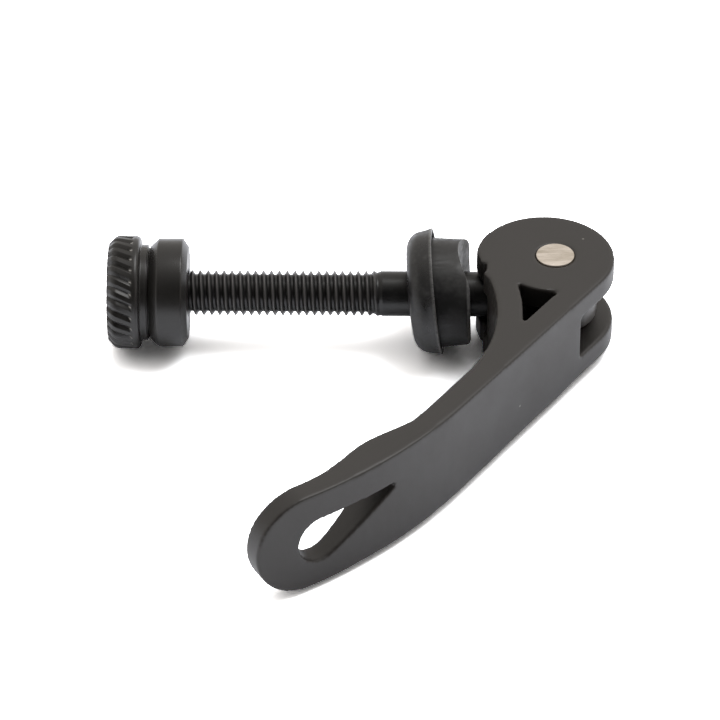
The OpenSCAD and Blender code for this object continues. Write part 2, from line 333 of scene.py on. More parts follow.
@dataclass(frozen=True)
class FacedSteel(Finish):
    """Bare steel, faced flat and lightly scratched: warm silver, with fine lines and a few scratches."""

    dull_colour: str = "b5ab9c"
    line_mm: float = 0.12
    line_turn: float = 20.0
    line_squeeze: float = 0.08
    line_height_mm: float = 0.008
    scratch_mm: float = 1.1
    scratch_turn: float = -35.0
    scratch_squeeze: float = 0.15
    # noise between which the colour goes from dull to bright
    shade_band: tuple[float, float] = (0.35, 0.65)
    # added to the roughness in the deepest and on the highest lines
    gloss_range: tuple[float, float] = (-0.08, 0.1)

    def material(self) -> bpy.types.Material:
        """Builds the material.

        Returns:
            The material, with its patterns on object coordinates.
        """
        material, tree, shader, coordinates = self.start()
        drawn = add_node(
            tree, "ShaderNodeMapping", None,
            {"Vector": coordinates, "Rotation": (0.0, 0.0, math.radians(self.line_turn)),
             "Scale": (self.line_squeeze, 1.0, 1.0)})
        lines = add_node(
            tree, "ShaderNodeTexNoise", None,
            {"Vector": drawn.outputs["Vector"], "Scale": 1 / (self.line_mm * MM), "Detail": 3.0})
        across = add_node(
            tree, "ShaderNodeMapping", None,
            {"Vector": coordinates, "Rotation": (0.0, 0.0, math.radians(self.scratch_turn)),
             "Scale": (self.scratch_squeeze, 1.0, 1.0)})
        scratches = add_node(
            tree, "ShaderNodeTexNoise", None,
            {"Vector": across.outputs["Vector"], "Scale": 1 / (self.scratch_mm * MM), "Detail": 6.0,
             "Roughness": 0.75})
        shade = add_node(
            tree, "ShaderNodeMapRange", {"clamp": True},
            {"Value": scratches.outputs["Fac"], "From Min": self.shade_band[0],
             "From Max": self.shade_band[1], "To Min": 0.0, "To Max": 1.0})
        body = add_node(
            tree, "ShaderNodeMix", {"data_type": "RGBA"},
            {0: shade.outputs["Result"], 6: linear(self.dull_colour), 7: linear(self.colour)})
        gloss = add_node(
            tree, "ShaderNodeMapRange", None,
            {"Value": lines.outputs["Fac"], "From Min": 0.3, "From Max": 0.7,
             "To Min": self.roughness + self.gloss_range[0],
             "To Max": self.roughness + self.gloss_range[1]})
        bump = add_node(
            tree, "ShaderNodeBump", None,
            {"Height": lines.outputs["Fac"], "Strength": 0.25, "Distance": self.line_height_mm * MM})
        tree.links.new(body.outputs[2], shader.inputs["Base Color"])
        tree.links.new(gloss.outputs["Result"], shader.inputs["Roughness"])
        tree.links.new(bump.outputs["Normal"], shader.inputs["Normal"])
        return material


@dataclass(frozen=True)
class MouldedPolymer(Finish):
    """Black moulded glass-filled polymer: uneven gloss, small pits, grey where it is rubbed, and pale at
    marked places that are rubbed and carry a painted highlight.
    """

    rubbed_colour: str = "4a4a49"
    rubbed_highlight_colour: str = "8a8a8a"
    patch_mm: float = 2.0
    # noise from which a patch starts to show and at which it shows most, and how much it then shows
    patch_band: tuple[float, float] = (0.48, 0.72)
    patch_share: float = 0.6
    # added to the roughness in the darkest and in the palest patches
    gloss_range: tuple[float, float] = (-0.12, 0.2)
    pit_mm: float = 0.45
    pit_height_mm: float = 0.02

    def material(self) -> bpy.types.Material:
        """Builds the material.

        Returns:
            The material, with its patterns on object coordinates.
        """
        material, tree, shader, coordinates = self.start()
        patches = add_node(
            tree, "ShaderNodeTexNoise", None,
            {"Vector": coordinates, "Scale": 1 / (self.patch_mm * MM), "Detail": 6.0, "Roughness": 0.7})
        pits = add_node(
            tree, "ShaderNodeTexNoise", None,
            {"Vector": coordinates, "Scale": 1 / (self.pit_mm * MM), "Detail": 3.0, "Roughness": 0.55})
        rubbed = add_node(
            tree, "ShaderNodeMapRange", {"clamp": True},
            {"Value": patches.outputs["Fac"], "From Min": self.patch_band[0],
             "From Max": self.patch_band[1], "To Min": 0.0, "To Max": self.patch_share})
        body = add_node(
            tree, "ShaderNodeMix", {"data_type": "RGBA"},
            {0: rubbed.outputs["Result"], 6: linear(self.colour), 7: linear(self.rubbed_colour)})
        # pale places that are rubbed and carry a painted highlight
        rubbed_highlight_places = add_node(tree, "ShaderNodeAttribute", {"attribute_name": RUBBED_HIGHLIGHT})
        rough_places = add_node(
            tree, "ShaderNodeMath", {"operation": "MULTIPLY"},
            {0: rubbed_highlight_places.outputs["Fac"], 1: pits.outputs["Fac"]})
        shown = add_node(
            tree, "ShaderNodeMix", {"data_type": "RGBA"},
            {0: rough_places.outputs[0], 6: body.outputs[2], 7: linear(self.rubbed_highlight_colour)})
        gloss = add_node(
            tree, "ShaderNodeMapRange", None,
            {"Value": patches.outputs["Fac"], "From Min": 0.35, "From Max": 0.65,
             "To Min": self.roughness + self.gloss_range[0],
             "To Max": self.roughness + self.gloss_range[1]})
        bump = add_node(
            tree, "ShaderNodeBump", None,
            {"Height": pits.outputs["Fac"], "Strength": 0.5, "Distance": self.pit_height_mm * MM})
        tree.links.new(shown.outputs[2], shader.inputs["Base Color"])
        tree.links.new(gloss.outputs["Result"], shader.inputs["Roughness"])
        tree.links.new(bump.outputs["Normal"], shader.inputs["Normal"])
        return material


LEVER_FINISH = SatinAnodised("satin black anodised alloy", "lever_alloy", "282624", 0.42, 0.0)
NUT_FINISH = SatinAnodised(
    "turned black anodised alloy", "nut_alloy", "1c1b1a", 0.3, 0.0, cloud_colour="232221", speck_share=0.02)
BOLT_FINISH = BlackOxide("black oxide steel", "bolt_steel", "111111", 0.3, 0.1)
PIN_FINISH = FacedSteel("faced bare steel", "pin_steel", "ebe2d8", 0.34, 0.85)
FLANGE_FINISH = MouldedPolymer("rubbed and highlighted moulded polymer", "washer_cast", "1c1c1d", 0.34, 0.0)
SADDLE_FINISH = MouldedPolymer(
    "moulded polymer", "washer_mould", "1c1c1d", 0.42, 0.0, patch_share=0.45, pit_height_mm=0.012)


# Meshes


def finished_mesh(mesh_data: bmesh.types.BMesh, name: str) -> bpy.types.Mesh:
    """Turns edit data, which is used up, into a mesh.

    Args:
        mesh_data: Edit data.
        name: Name of the mesh.

    Returns:
        The mesh.
    """
    mesh = bpy.data.meshes.new(name)
    mesh_data.to_mesh(mesh)
    mesh_data.free()
    return mesh


def rounded(corners: Sequence[tuple[float, float, float]], steps: int = 5) -> list[Point]:
    """Rounds the corners of a closed outline.

    Args:
        corners: Each corner's two coordinates and its radius, which may be 0.
        steps: Segments of each round.

    Returns:
        The points of the rounded outline, in the same order.
    """
    points: list[Point] = []
    count = len(corners)
    for i, (x, y, radius) in enumerate(corners):
        here = np.array([x, y])
        if radius <= 0:
            points.append((x, y))
            continue
        before = np.array(corners[i - 1][:2]) - here
        after = np.array(corners[(i + 1) % count][:2]) - here
        one = before / np.linalg.norm(before)
        two = after / np.linalg.norm(after)
        half = math.acos(float(np.clip(one @ two, -1, 1))) / 2
        reach = radius / math.tan(half)
        middle = here + (one + two) / np.linalg.norm(one + two) * radius / math.sin(half)
        first = here + one * reach - middle
        last = here + two * reach - middle
        turn = math.atan2(float(first[0] * last[1] - first[1] * last[0]), float(first @ last))
        for k in range(steps + 1):
            angle = turn * k / steps
            cos, sin = math.cos(angle), math.sin(angle)
            points.append((
                float(middle[0] + first[0] * cos - first[1] * sin),
                float(middle[1] + first[0] * sin + first[1] * cos)))
    return points


def turned_mesh(name: str, outline: Sequence[Point], around: int, axis: Axis) -> bpy.types.Mesh:
    """Turns a closed outline into a ring-shaped solid.

    Args:
        name: Name of the mesh.
        outline: Points of distance along the axis and radius, in millimetres.
        around: Number of steps round the axis.
        axis: Line that the outline turns about.

    Returns:
        The closed mesh, in metres, with its faces pointing outwards.
    """
    mesh_data = bmesh.new()
    rings = []
    for k in range(around):
        angle = 2 * math.pi * k / around
        cos, sin = math.cos(angle), math.sin(angle)
        ring = []
        for along, radius in outline:
            one, two = radius * cos, radius * sin
            place = (along, one, two) if axis is Axis.BOLT else (one, two, along)
            ring.append(mesh_data.verts.new(Vector(place) * MM))
        rings.append(ring)
    count = len(outline)
    for k in range(around):
        here, there = rings[k], rings[(k + 1) % around]
        for i in range(count):
            j = (i + 1) % count
            mesh_data.faces.new((here[i], here[j], there[j], there[i]))
    bmesh.ops.recalc_face_normals(mesh_data, faces=mesh_data.faces)
    return finished_mesh(mesh_data, name)


def add_object(name: str, mesh: bpy.types.Mesh) -> bpy.types.Object:
    """Links a mesh into the scene as an object at the origin.

    Args:
        name: Name of the object.
        mesh: Its mesh.

    Returns:
        The object.
    """
    piece = bpy.data.objects.new(name, mesh)
    bpy.context.scene.collection.objects.link(piece)
    return piece


def applied(piece: bpy.types.Object) -> bpy.types.Object:
    """Turns an object's modifiers into plain mesh and removes them.

    Args:
        piece: Object with modifiers.

    Returns:
        The same object, with the mesh that the modifiers made.
    """
    bpy.context.view_layer.update()
    depsgraph = bpy.context.evaluated_depsgraph_get()
    mesh = bpy.data.meshes.new_from_object(piece.evaluated_get(depsgraph), depsgraph=depsgraph)
    piece.modifiers.clear()
    old = piece.data
    piece.data = mesh
    mesh.name = piece.name
    bpy.data.meshes.remove(old)
    return piece


def combine(piece: bpy.types.Object, other: bpy.types.Object, operation: str) -> bpy.types.Object:
    """Joins or cuts a closed piece with another, which is used up.

    Args:
        piece: Piece that stays.
        other: Piece that is added or taken away.
        operation: UNION, DIFFERENCE or INTERSECT.

    Returns:
        The same piece with its new mesh.
    """
    modifier = piece.modifiers.new("combine", "BOOLEAN")
    modifier.operation = operation
    modifier.solver = "EXACT"
    modifier.object = other
    applied(piece)
    bpy.data.objects.remove(other, do_unlink=True)
    return piece


def merged_copy(node: bpy.types.Object, name: str) -> bpy.types.Object:
    """Copies a CAD node as one closed mesh with whole flat faces.

    Args:
        node: The CAD node, whose triangles are loose.
        name: Name of the copy.

    Returns:
        The copy.
    """
    mesh_data = bmesh.new()
    mesh_data.from_mesh(node.data)
    bmesh.ops.remove_doubles(mesh_data, verts=mesh_data.verts, dist=SAME_PLACE_MM * MM)
    bmesh.ops.dissolve_limit(
        mesh_data, angle_limit=math.radians(SAME_FACE), verts=mesh_data.verts, edges=mesh_data.edges)
    return add_object(name, finished_mesh(mesh_data, name))


def smooth(piece: bpy.types.Object, sharp_from: float = 32.0) -> None:
    """Shades a piece smooth, apart from its sharp edges.

    Args:
        piece: Piece to shade.
        sharp_from: Edges sharper than this angle in degrees stay sharp.
    """
    piece.data.shade_smooth()
    piece.data.set_sharp_from_angle(angle=math.radians(sharp_from))


def dress(
    piece: bpy.types.Object, body: str, material: bpy.types.Material, node: str
) -> None:
    """Gives a piece its material and body, and puts it in the place of its CAD node.

    Args:
        piece: Finished piece.
        body: CAD body that it rides on.
        material: Material of that finish.
        node: CAD node that it stands for.
    """
    piece.data.materials.clear()
    piece.data.materials.append(material)
    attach(piece, body)
    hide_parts(node)
    LOG.info("%s: %d faces on %s", piece.name, len(piece.data.polygons), body)


def middle_mm(node: str) -> Vector:
    """Gives the middle of a CAD node's box.

    Args:
        node: Name of the node.

    Returns:
        The middle, in millimetres.
    """
    low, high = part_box(node)
    return (low + high) / 2 / MM


# Shapes that follow a rule, as geometry node trees


@dataclass
class RuledShape:
    """A geometry node tree with named inputs, run once on an object.

    A whole number among the inputs gets an integer socket, and any other number a float socket.
    """

    name: str
    inputs: dict[str, float | int]
    tree: bpy.types.NodeTree = field(init=False)
    sockets: dict[str, bpy.types.NodeSocket] = field(init=False)

    def __post_init__(self) -> None:
        """Starts the tree with its inputs."""
        self.tree = bpy.data.node_groups.new(self.name, "GeometryNodeTree")
        interface = self.tree.interface
        interface.new_socket("Geometry", in_out="INPUT", socket_type="NodeSocketGeometry")
        for name, value in self.inputs.items():
            kind = "NodeSocketInt" if isinstance(value, int) else "NodeSocketFloat"
            interface.new_socket(name, in_out="INPUT", socket_type=kind)
        interface.new_socket("Geometry", in_out="OUTPUT", socket_type="NodeSocketGeometry")
        entry = self.tree.nodes.new("NodeGroupInput")
        self.sockets = {socket.name: socket for socket in entry.outputs if socket.name}

    def close(self, geometry: bpy.types.NodeSocket, material: bpy.types.Material) -> None:
        """Ends the tree with real geometry and its material.

        Args:
            geometry: What the tree has made.
            material: Material of all of it.
        """
        real = add_node(self.tree, "GeometryNodeRealizeInstances", None, {"Geometry": geometry})
        dressed = add_node(
            self.tree, "GeometryNodeSetMaterial", None,
            {"Geometry": real.outputs["Geometry"], "Material": material})
        add_node(self.tree, "NodeGroupOutput", None, {"Geometry": dressed.outputs["Geometry"]})

    def run(self, piece: bpy.types.Object) -> bpy.types.Object:
        """Runs the tree on an object and turns the result into plain mesh.

        Args:
            piece: Object that the tree works on.

        Returns:
            The same object, with its new mesh.
        """
        modifier = piece.modifiers.new(self.name, "NODES")
        modifier.node_group = self.tree
        for item in self.tree.interface.items_tree:
            if item.in_out == "INPUT" and item.name in self.inputs:
                modifier[item.identifier] = self.inputs[item.name]
        return applied(piece)


# The eye bolt


@dataclass
class EyeBolt:
    """Bolt with a rolled metric thread, a plain shank and a turned eye."""

    crest_r: float = 2.87
    pitch: float = 1.0
    thread_depth: float = 0.5
    # crest and root flats, as the metric thread has them, in shares of the pitch
    crest_share: float = 0.125
    root_share: float = 0.25
    rows_per_pitch: int = 16
    around: int = 96
    thread_end: float = -5.7
    runout: float = 2.2
    tip_bevel: float = 0.6
    bore_r: float = 2.46
    eye_bevel: float = 0.8
    bore_round: float = 0.15
    face_round: float = 0.3
    rim_round: float = 0.5
    # crest pallor, part rubbing and part painted highlight, falls off down the flank with this power
    crest_falloff: float = 2.0
    same_place: float = 0.0005
    sharp_from: float = 24.0

    def thread_tree(self, tip: float, material: bpy.types.Material) -> RuledShape:
        """Makes the node tree that rolls a grid into a helical thread.

        Args:
            tip: Place of the bolt's free end.
            material: Material of the thread.

        Returns:
            The tree, ready to run.
        """
        end = self.thread_end + self.runout
        turns = math.ceil((end - tip) / self.pitch) + 1
        shape = RuledShape("rolled thread", {
            "Tip": tip * MM, "End": end * MM, "Run-out": self.runout * MM, "Pitch": self.pitch * MM,
            "Crest radius": self.crest_r * MM, "Depth": self.thread_depth * MM,
            "Tip bevel": self.tip_bevel * MM, "Turns": float(turns),
            "Rows": turns * self.rows_per_pitch + 1, "Around": self.around + 1})
        tree = shape.tree
        grid = add_node(tree, "GeometryNodeMeshGrid", None, {
            "Size X": 1.0, "Size Y": 1.0, "Vertices X": shape.sockets["Rows"],
            "Vertices Y": shape.sockets["Around"]})
        position = add_node(tree, "GeometryNodeInputPosition").outputs["Position"]
        place = add_node(tree, "ShaderNodeSeparateXYZ", None, {"Vector": position})
        flank_share = (1 - self.crest_share - self.root_share) / 2
        known = {**shape.sockets, "grid x": place.outputs[0], "grid y": place.outputs[1]}
        results = add_formula(tree, known, (
            Step("turn", "ADD", ("grid y", 0.5)),
            Step("row", "ADD", ("grid x", 0.5)),
            Step("wound", "MULTIPLY", ("row", "Turns")),
            Step("advance", "ADD", ("wound", "turn")),
            Step("less one", "SUBTRACT", ("advance", 1.0)),
            Step("travel", "MULTIPLY", ("less one", "Pitch")),
            Step("free x", "ADD", ("travel", "Tip")),
            Step("past tip", "MAXIMUM", ("free x", "Tip")),
            Step("x", "MINIMUM", ("past tip", "End")),
            Step("phase", "FRACT", ("wound",)),
            Step("off crest", "SUBTRACT", ("phase", 0.5)),
            Step("beside crest", "ABSOLUTE", ("off crest",)),
            Step("down flank", "SUBTRACT", ("beside crest", self.crest_share / 2)),
            Step("slope", "DIVIDE", ("down flank", flank_share)),
            Step("slope over 0", "MAXIMUM", ("slope", 0.0)),
            Step("groove", "MINIMUM", ("slope over 0", 1.0)),
            Step("to end", "SUBTRACT", ("End", "x")),
            Step("fade", "DIVIDE", ("to end", "Run-out")),
            Step("full", "MINIMUM", ("fade", 1.0)),
            Step("cut", "MULTIPLY", ("groove", "full")),
            Step("deep", "MULTIPLY", ("cut", "Depth")),
            Step("thread r", "SUBTRACT", ("Crest radius", "deep")),
            Step("from tip", "SUBTRACT", ("x", "Tip")),
            Step("cone", "SUBTRACT", ("Crest radius", "Tip bevel")),
            Step("cone r", "ADD", ("cone", "from tip")),
            Step("r", "MINIMUM", ("thread r", "cone r")),
            Step("angle", "MULTIPLY", ("turn", 2 * math.pi)),
            Step("cos", "COSINE", ("angle",)),
            Step("sin", "SINE", ("angle",)),
            Step("y", "MULTIPLY", ("r", "cos")),
            Step("z", "MULTIPLY", ("r", "sin")),
            # pale crests, rubbed and with a painted highlight, fading towards the root
            Step("above root", "SUBTRACT", (1.0, "groove")),
            Step("near crest", "POWER", ("above root", self.crest_falloff)),
            Step("rubbed", "MULTIPLY", ("near crest", "full"))))
        rolled = add_node(
            tree, "ShaderNodeCombineXYZ", None, {0: results["x"], 1: results["y"], 2: results["z"]})
        marked = add_node(
            tree, "GeometryNodeStoreNamedAttribute", {"data_type": "FLOAT", "domain": "POINT"},
            {"Geometry": grid.outputs["Mesh"], "Name": RUBBED_HIGHLIGHT, "Value": results["rubbed"]})
        moved = add_node(
            tree, "GeometryNodeSetPosition", None,
            {"Geometry": marked.outputs["Geometry"], "Position": rolled.outputs[0]})
        joined = add_node(
            tree, "GeometryNodeMergeByDistance", None,
            {"Geometry": moved.outputs["Geometry"], "Distance": self.same_place * MM})
        shape.close(joined.outputs["Geometry"], material)
        return shape

    def close_shank(self, piece: bpy.types.Object, shank_end: float) -> None:
        """Draws the plain shank out from the thread and closes both ends.

        Args:
            piece: Open threaded tube.
            shank_end: Place where the shank ends, inside the eye.
        """
        mesh_data = bmesh.new()
        mesh_data.from_mesh(piece.data)
        rim = [edge for edge in mesh_data.edges if edge.is_boundary]
        far_rim = [edge for edge in rim if edge.verts[0].co.x > self.thread_end * MM]
        grown = bmesh.ops.extrude_edge_only(mesh_data, edges=far_rim)["geom"]
        for vertex in grown:
            if isinstance(vertex, bmesh.types.BMVert):
                vertex.co.x = shank_end * MM
        bmesh.ops.holes_fill(mesh_data, edges=[edge for edge in mesh_data.edges if edge.is_boundary])
        bmesh.ops.recalc_face_normals(mesh_data, faces=mesh_data.faces)
        mesh_data.to_mesh(piece.data)
        mesh_data.free()

    def build(self) -> None:
        """Builds the bolt and puts it in the place of its CAD node."""
        material = BOLT_FINISH.material()
        low, high = (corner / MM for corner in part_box("eye_bolt"))
        pivot = middle_mm("pivot_pin")
        eye_r = high.x - pivot.x
        half = -low.z
        piece = add_object("threaded_eye_bolt", bpy.data.meshes.new("threaded_eye_bolt"))
        self.thread_tree(low.x, material).run(piece)
        self.close_shank(piece, pivot.x - (self.bore_r + eye_r) / 2)
        eye = add_object("eye", turned_mesh("eye", rounded([
            (-half, self.bore_r, self.bore_round), (-half, eye_r - self.eye_bevel, self.face_round),
            (self.eye_bevel - half, eye_r, self.rim_round), (half - self.eye_bevel, eye_r, self.rim_round),
            (half, eye_r - self.eye_bevel, self.face_round), (half, self.bore_r, self.bore_round)]),
            self.around, Axis.PIVOT))
        eye.data.transform(Matrix.Translation((pivot.x * MM, 0, 0)))
        combine(piece, eye, "UNION")
        smooth(piece, self.sharp_from)
        dress(piece, "bolt", material, "eye_bolt")


# The thumb nut and its collar


@dataclass
class ThumbNut:
    """Turned thumb nut with slanted grooves that run in over its rim and end before its neck."""

    grooves: int = 28
    samples_per_groove: int = 16
    # most room between the rows of points along the head
    row_gap: float = 0.12
    slant: float = 25.0
    groove_depth: float = 0.3
    # half width of a groove, in shares of the spacing
    groove_half: float = 0.3
    groove_end: float = 3.2
    groove_runout: float = 0.35
    neck_step: float = 1.1
    neck_len: float = 1.02
    rim_h: float = 1.0
    rim_len: float = 0.9
    rim_round: float = 1.2
    head_round: float = 0.6
    face_round: float = 0.2
    neck_round: float = 0.1
    bore_r: float = 2.95
    bore_round: float = 0.1
    seam_d: float = 0.35
    seam_w: float = 0.12
    seam_round: float = 0.04
    round_steps: int = 6
    # how far below the outer face's edge the grooves still reach
    groove_reach: float = 0.3
    # how sharply the painted highlight at the end of a groove narrows to its middle
    end_narrowing: float = 6.0
    slack: float = 0.01
    sharp_from: float = 28.0

    def outline(self, left: float, right: float, head_r: float) -> list[Point]:
        """Gives the nut's section with enough rows along the head for its grooves.

        Args:
            left: Place of the outer face.
            right: Place of the face at the collar.
            head_r: Outside radius of the head.

        Returns:
            Points of distance along the bolt and radius.
        """
        head_right = right - self.neck_len
        neck_r = head_r - self.neck_step
        section = rounded([
            (left, self.bore_r, self.face_round), (left, head_r - self.rim_h, self.face_round),
            (left + self.rim_len, head_r, self.rim_round), (head_right, head_r, self.head_round),
            (head_right, neck_r, self.face_round), (right - self.seam_w, neck_r, self.neck_round),
            (right - self.seam_w, neck_r - self.seam_d, self.seam_round),
            (right, neck_r - self.seam_d, self.seam_round), (right, self.bore_r, self.bore_round)],
            self.round_steps)
        grooved_r = head_r - self.rim_h - self.slack
        fine: list[Point] = []
        for i, (x, r) in enumerate(section):
            fine.append((x, r))
            next_x, next_r = section[(i + 1) % len(section)]
            gap = math.hypot(next_x - x, next_r - r)
            extra = int(gap / self.row_gap) if min(r, next_r) > grooved_r else 0
            for k in range(1, extra + 1):
                share = k / (extra + 1)
                fine.append((x + share * (next_x - x), r + share * (next_r - r)))
        return fine

    def groove_tree(self, left: float, head_r: float, material: bpy.types.Material) -> RuledShape:
        """Makes the node tree that twists the turned nut and presses the grooves into its head.

        Args:
            left: Place of the outer face.
            head_r: Outside radius of the head.
            material: Material of the nut.

        Returns:
            The tree, ready to run.
        """
        shape = RuledShape("slanted grooves", {
            "Outer face": left * MM, "Head radius": head_r * MM, "Grooves": float(self.grooves),
            "Slant": math.tan(math.radians(self.slant)), "Half width": self.groove_half,
            "Depth": self.groove_depth * MM, "End": self.groove_end * MM,
            "Run-out": self.groove_runout * MM,
            "Inner radius": (head_r - self.rim_h - self.groove_reach) * MM})
        tree = shape.tree
        position = add_node(tree, "GeometryNodeInputPosition").outputs["Position"]
        place = add_node(tree, "ShaderNodeSeparateXYZ", None, {"Vector": position})
        known = {**shape.sockets, "x": place.outputs[0], "y": place.outputs[1], "z": place.outputs[2]}
        # a groove's end share, which places the painted highlight, is 1 halfway up its run-out, and 0 on
        # the groove's floor and on the head
        results = add_formula(tree, known, (
            Step("inward", "SUBTRACT", ("x", "Outer face")),
            Step("y2", "MULTIPLY", ("y", "y")),
            Step("z2", "MULTIPLY", ("z", "z")),
            Step("r2", "ADD", ("y2", "z2")),
            Step("r", "SQRT", ("r2",)),
            Step("angle", "ARCTAN2", ("z", "y")),
            Step("share", "DIVIDE", ("angle", 2 * math.pi)),
            Step("count", "MULTIPLY", ("share", "Grooves")),
            Step("phase", "FRACT", ("count",)),
            Step("off groove", "SUBTRACT", ("phase", 0.5)),
            Step("beside", "ABSOLUTE", ("off groove",)),
            Step("across", "DIVIDE", ("beside", "Half width")),
            Step("under", "SUBTRACT", (1.0, "across")),
            Step("vee", "MAXIMUM", ("under", 0.0)),
            Step("to end", "SUBTRACT", ("End", "inward")),
            Step("fade", "DIVIDE", ("to end", "Run-out")),
            Step("fade over 0", "MAXIMUM", ("fade", 0.0)),
            Step("full", "MINIMUM", ("fade over 0", 1.0)),
            Step("on head", "GREATER_THAN", ("r", "Inner radius")),
            Step("here", "MULTIPLY", ("full", "on head")),
            Step("floor", "MINIMUM", ("vee", "here")),
            Step("cut", "MULTIPLY", ("floor", "Depth")),
            Step("new r", "SUBTRACT", ("r", "cut")),
            Step("sideways", "MULTIPLY", ("inward", "Slant")),
            Step("twist", "DIVIDE", ("sideways", "Head radius")),
            Step("new angle", "ADD", ("angle", "twist")),
            Step("cos", "COSINE", ("new angle",)),
            Step("sin", "SINE", ("new angle",)),
            Step("new y", "MULTIPLY", ("new r", "cos")),
            Step("new z", "MULTIPLY", ("new r", "sin")),
            Step("slope up", "SUBTRACT", (1.0, "full")),
            Step("slope both", "MULTIPLY", ("slope up", "full")),
            Step("end share", "MULTIPLY", ("slope both", 4.0)),
            Step("narrow", "POWER", ("vee", self.end_narrowing)),
            Step("end here", "MULTIPLY", ("end share", "narrow"))))
        pressed = add_node(
            tree, "ShaderNodeCombineXYZ", None, {0: results["x"], 1: results["new y"], 2: results["new z"]})
        marked = add_node(
            tree, "GeometryNodeStoreNamedAttribute", {"data_type": "FLOAT", "domain": "POINT"},
            {"Geometry": shape.sockets["Geometry"], "Name": GROOVE_END_HIGHLIGHT, "Value": results["end here"]})
        moved = add_node(
            tree, "GeometryNodeSetPosition", None,
            {"Geometry": marked.outputs["Geometry"], "Position": pressed.outputs[0]})
        shape.close(moved.outputs["Geometry"], material)
        return shape

    def build(self, material: bpy.types.Material) -> None:
        """Builds the nut and puts it in the place of its CAD node.

        Args:
            material: Material that nut and collar share.
        """
        low, high = (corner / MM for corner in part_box("thumb_nut"))
        head_r = high.z
        around = self.grooves * self.samples_per_groove
        mesh = turned_mesh("knurled_thumb_nut", self.outline(low.x, high.x, head_r), around, Axis.BOLT)
        piece = add_object("knurled_thumb_nut", mesh)
        self.groove_tree(low.x, head_r, material).run(piece)
        smooth(piece, self.sharp_from)
        dress(piece, "thumb_nut", material, "thumb_nut")


@dataclass
class Collar:
    """Turned collar between the thumb nut and the clamp."""

    bore_r: float = 3.05
    bevel_h: float = 1.0
    bevel_nut: float = 1.2
    bevel_clamp: float = 0.7
    seam_d: float = 0.35
    seam_w: float = 0.12
    seam_round: float = 0.05
    edge_round: float = 0.15
    nut_bevel_round: float = 0.4
    clamp_bevel_round: float = 0.25
    around: int = 160

    def build(self, material: bpy.types.Material) -> None:
        """Builds the collar and puts it in the place of its CAD node.

        Args:
            material: Material that nut and collar share.
        """
        low, high = (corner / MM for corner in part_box("nut_collar"))
        outer = high.z
        face_r = outer - self.bevel_h
        seam_r = face_r - self.seam_d
        seam_x = low.x + self.seam_w
        outline = rounded([
            (low.x, self.bore_r, self.seam_round), (low.x, seam_r, self.seam_round),
            (seam_x, seam_r, self.seam_round), (seam_x, face_r, self.edge_round),
            (low.x + self.bevel_nut, outer, self.nut_bevel_round),
            (high.x - self.bevel_clamp, outer, self.clamp_bevel_round),
            (high.x, face_r, self.edge_round), (high.x, self.bore_r, self.edge_round)])
        mesh = turned_mesh("bevelled_collar", outline, self.around, Axis.BOLT)
        piece = add_object("bevelled_collar", mesh)
        smooth(piece)
        dress(piece, "nut_collar", material, "nut_collar")


# The washers


@dataclass
class Washers:
    """Dished flange washer and the saddle washer that lies in it, both rubbed by use, with a painted
    highlight on the flange's lip and on the saddle's side towards the cam.
    """

    nodes: dict[str, bpy.types.Object]
    groove_round: float = 0.25
    lip_round: float = 0.1
    round_steps: int = 3
    # edges sharper than this angle in degrees are rounded
    rounded_from: float = 30.0
    lip_width: float = 0.3
    flange_lean: float = 6.4
    # least share of +X in the direction of the saddle's groove, which is rubbed and gets a painted
    # highlight
    facing_cam: float = 0.45

    def rounded_copy(self, node: str, name: str, width: float) -> bpy.types.Object:
        """Copies a CAD washer and rounds its edges.

        Args:
            node: CAD node to copy.
            name: Name of the copy.
            width: Width of the rounds, in millimetres.

        Returns:
            The rounded copy.
        """
        piece = merged_copy(self.nodes[node], name)
        bevel = piece.modifiers.new("rounds", "BEVEL")
        bevel.limit_method = "ANGLE"
        bevel.angle_limit = math.radians(self.rounded_from)
        bevel.width = width * MM
        bevel.segments = self.round_steps
        bevel.use_clamp_overlap = True
        applied(piece)
        smooth(piece)
        return piece

    def on_lip(self, flange: bpy.types.Object) -> Callable[[bpy.types.MeshVertex], bool]:
        """Finds the outer edge of the flange washer's lip.

        Args:
            flange: The flange washer.

        Returns:
            Test that says of a vertex whether it lies on that edge.
        """
        lean = math.radians(self.flange_lean)
        axis = Vector((math.cos(lean), 0, math.sin(lean)))
        width = self.lip_width * MM

        def along(vertex: bpy.types.MeshVertex) -> float:
            """Distance of a vertex along the washer's axis."""
            return vertex.co @ axis

        def off_axis(vertex: bpy.types.MeshVertex) -> float:
            """Distance of a vertex from the washer's axis."""
            return (vertex.co - axis * along(vertex)).length

        least_along = max(map(along, flange.data.vertices)) - width
        least_off = max(map(off_axis, flange.data.vertices)) - width
        return lambda vertex: along(vertex) > least_along and off_axis(vertex) > least_off

    def mark_rubbed_highlight(
        self, piece: bpy.types.Object, is_rubbed_highlight: Callable[[bpy.types.MeshVertex], bool]
    ) -> None:
        """Stores where a washer is rubbed and gets a painted highlight.

        Args:
            piece: The washer.
            is_rubbed_highlight: Says of a vertex whether it lies in a place that is rubbed and gets a
                painted highlight.
        """
        marks = piece.data.attributes.new(RUBBED_HIGHLIGHT, "FLOAT", "POINT")
        for vertex in piece.data.vertices:
            marks.data[vertex.index].value = 1.0 if is_rubbed_highlight(vertex) else 0.0

    def build(self) -> None:
        """Builds both washers and puts them in the places of their CAD nodes."""
        flange = self.rounded_copy("flange_washer", "dished_flange_washer", self.lip_round)
        # the lip's outer edge is rubbed and gets a painted highlight
        self.mark_rubbed_highlight(flange, self.on_lip(flange))
        dress(flange, "flange_washer", FLANGE_FINISH.material(), "flange_washer")
        saddle = self.rounded_copy("saddle_washer", "grooved_saddle_washer", self.groove_round)
        # faces towards the cam are rubbed and get a painted highlight
        self.mark_rubbed_highlight(saddle, lambda vertex: vertex.normal.x > self.facing_cam)
        dress(saddle, "saddle_washer", SADDLE_FINISH.material(), "saddle_washer")


# The lever and its pin


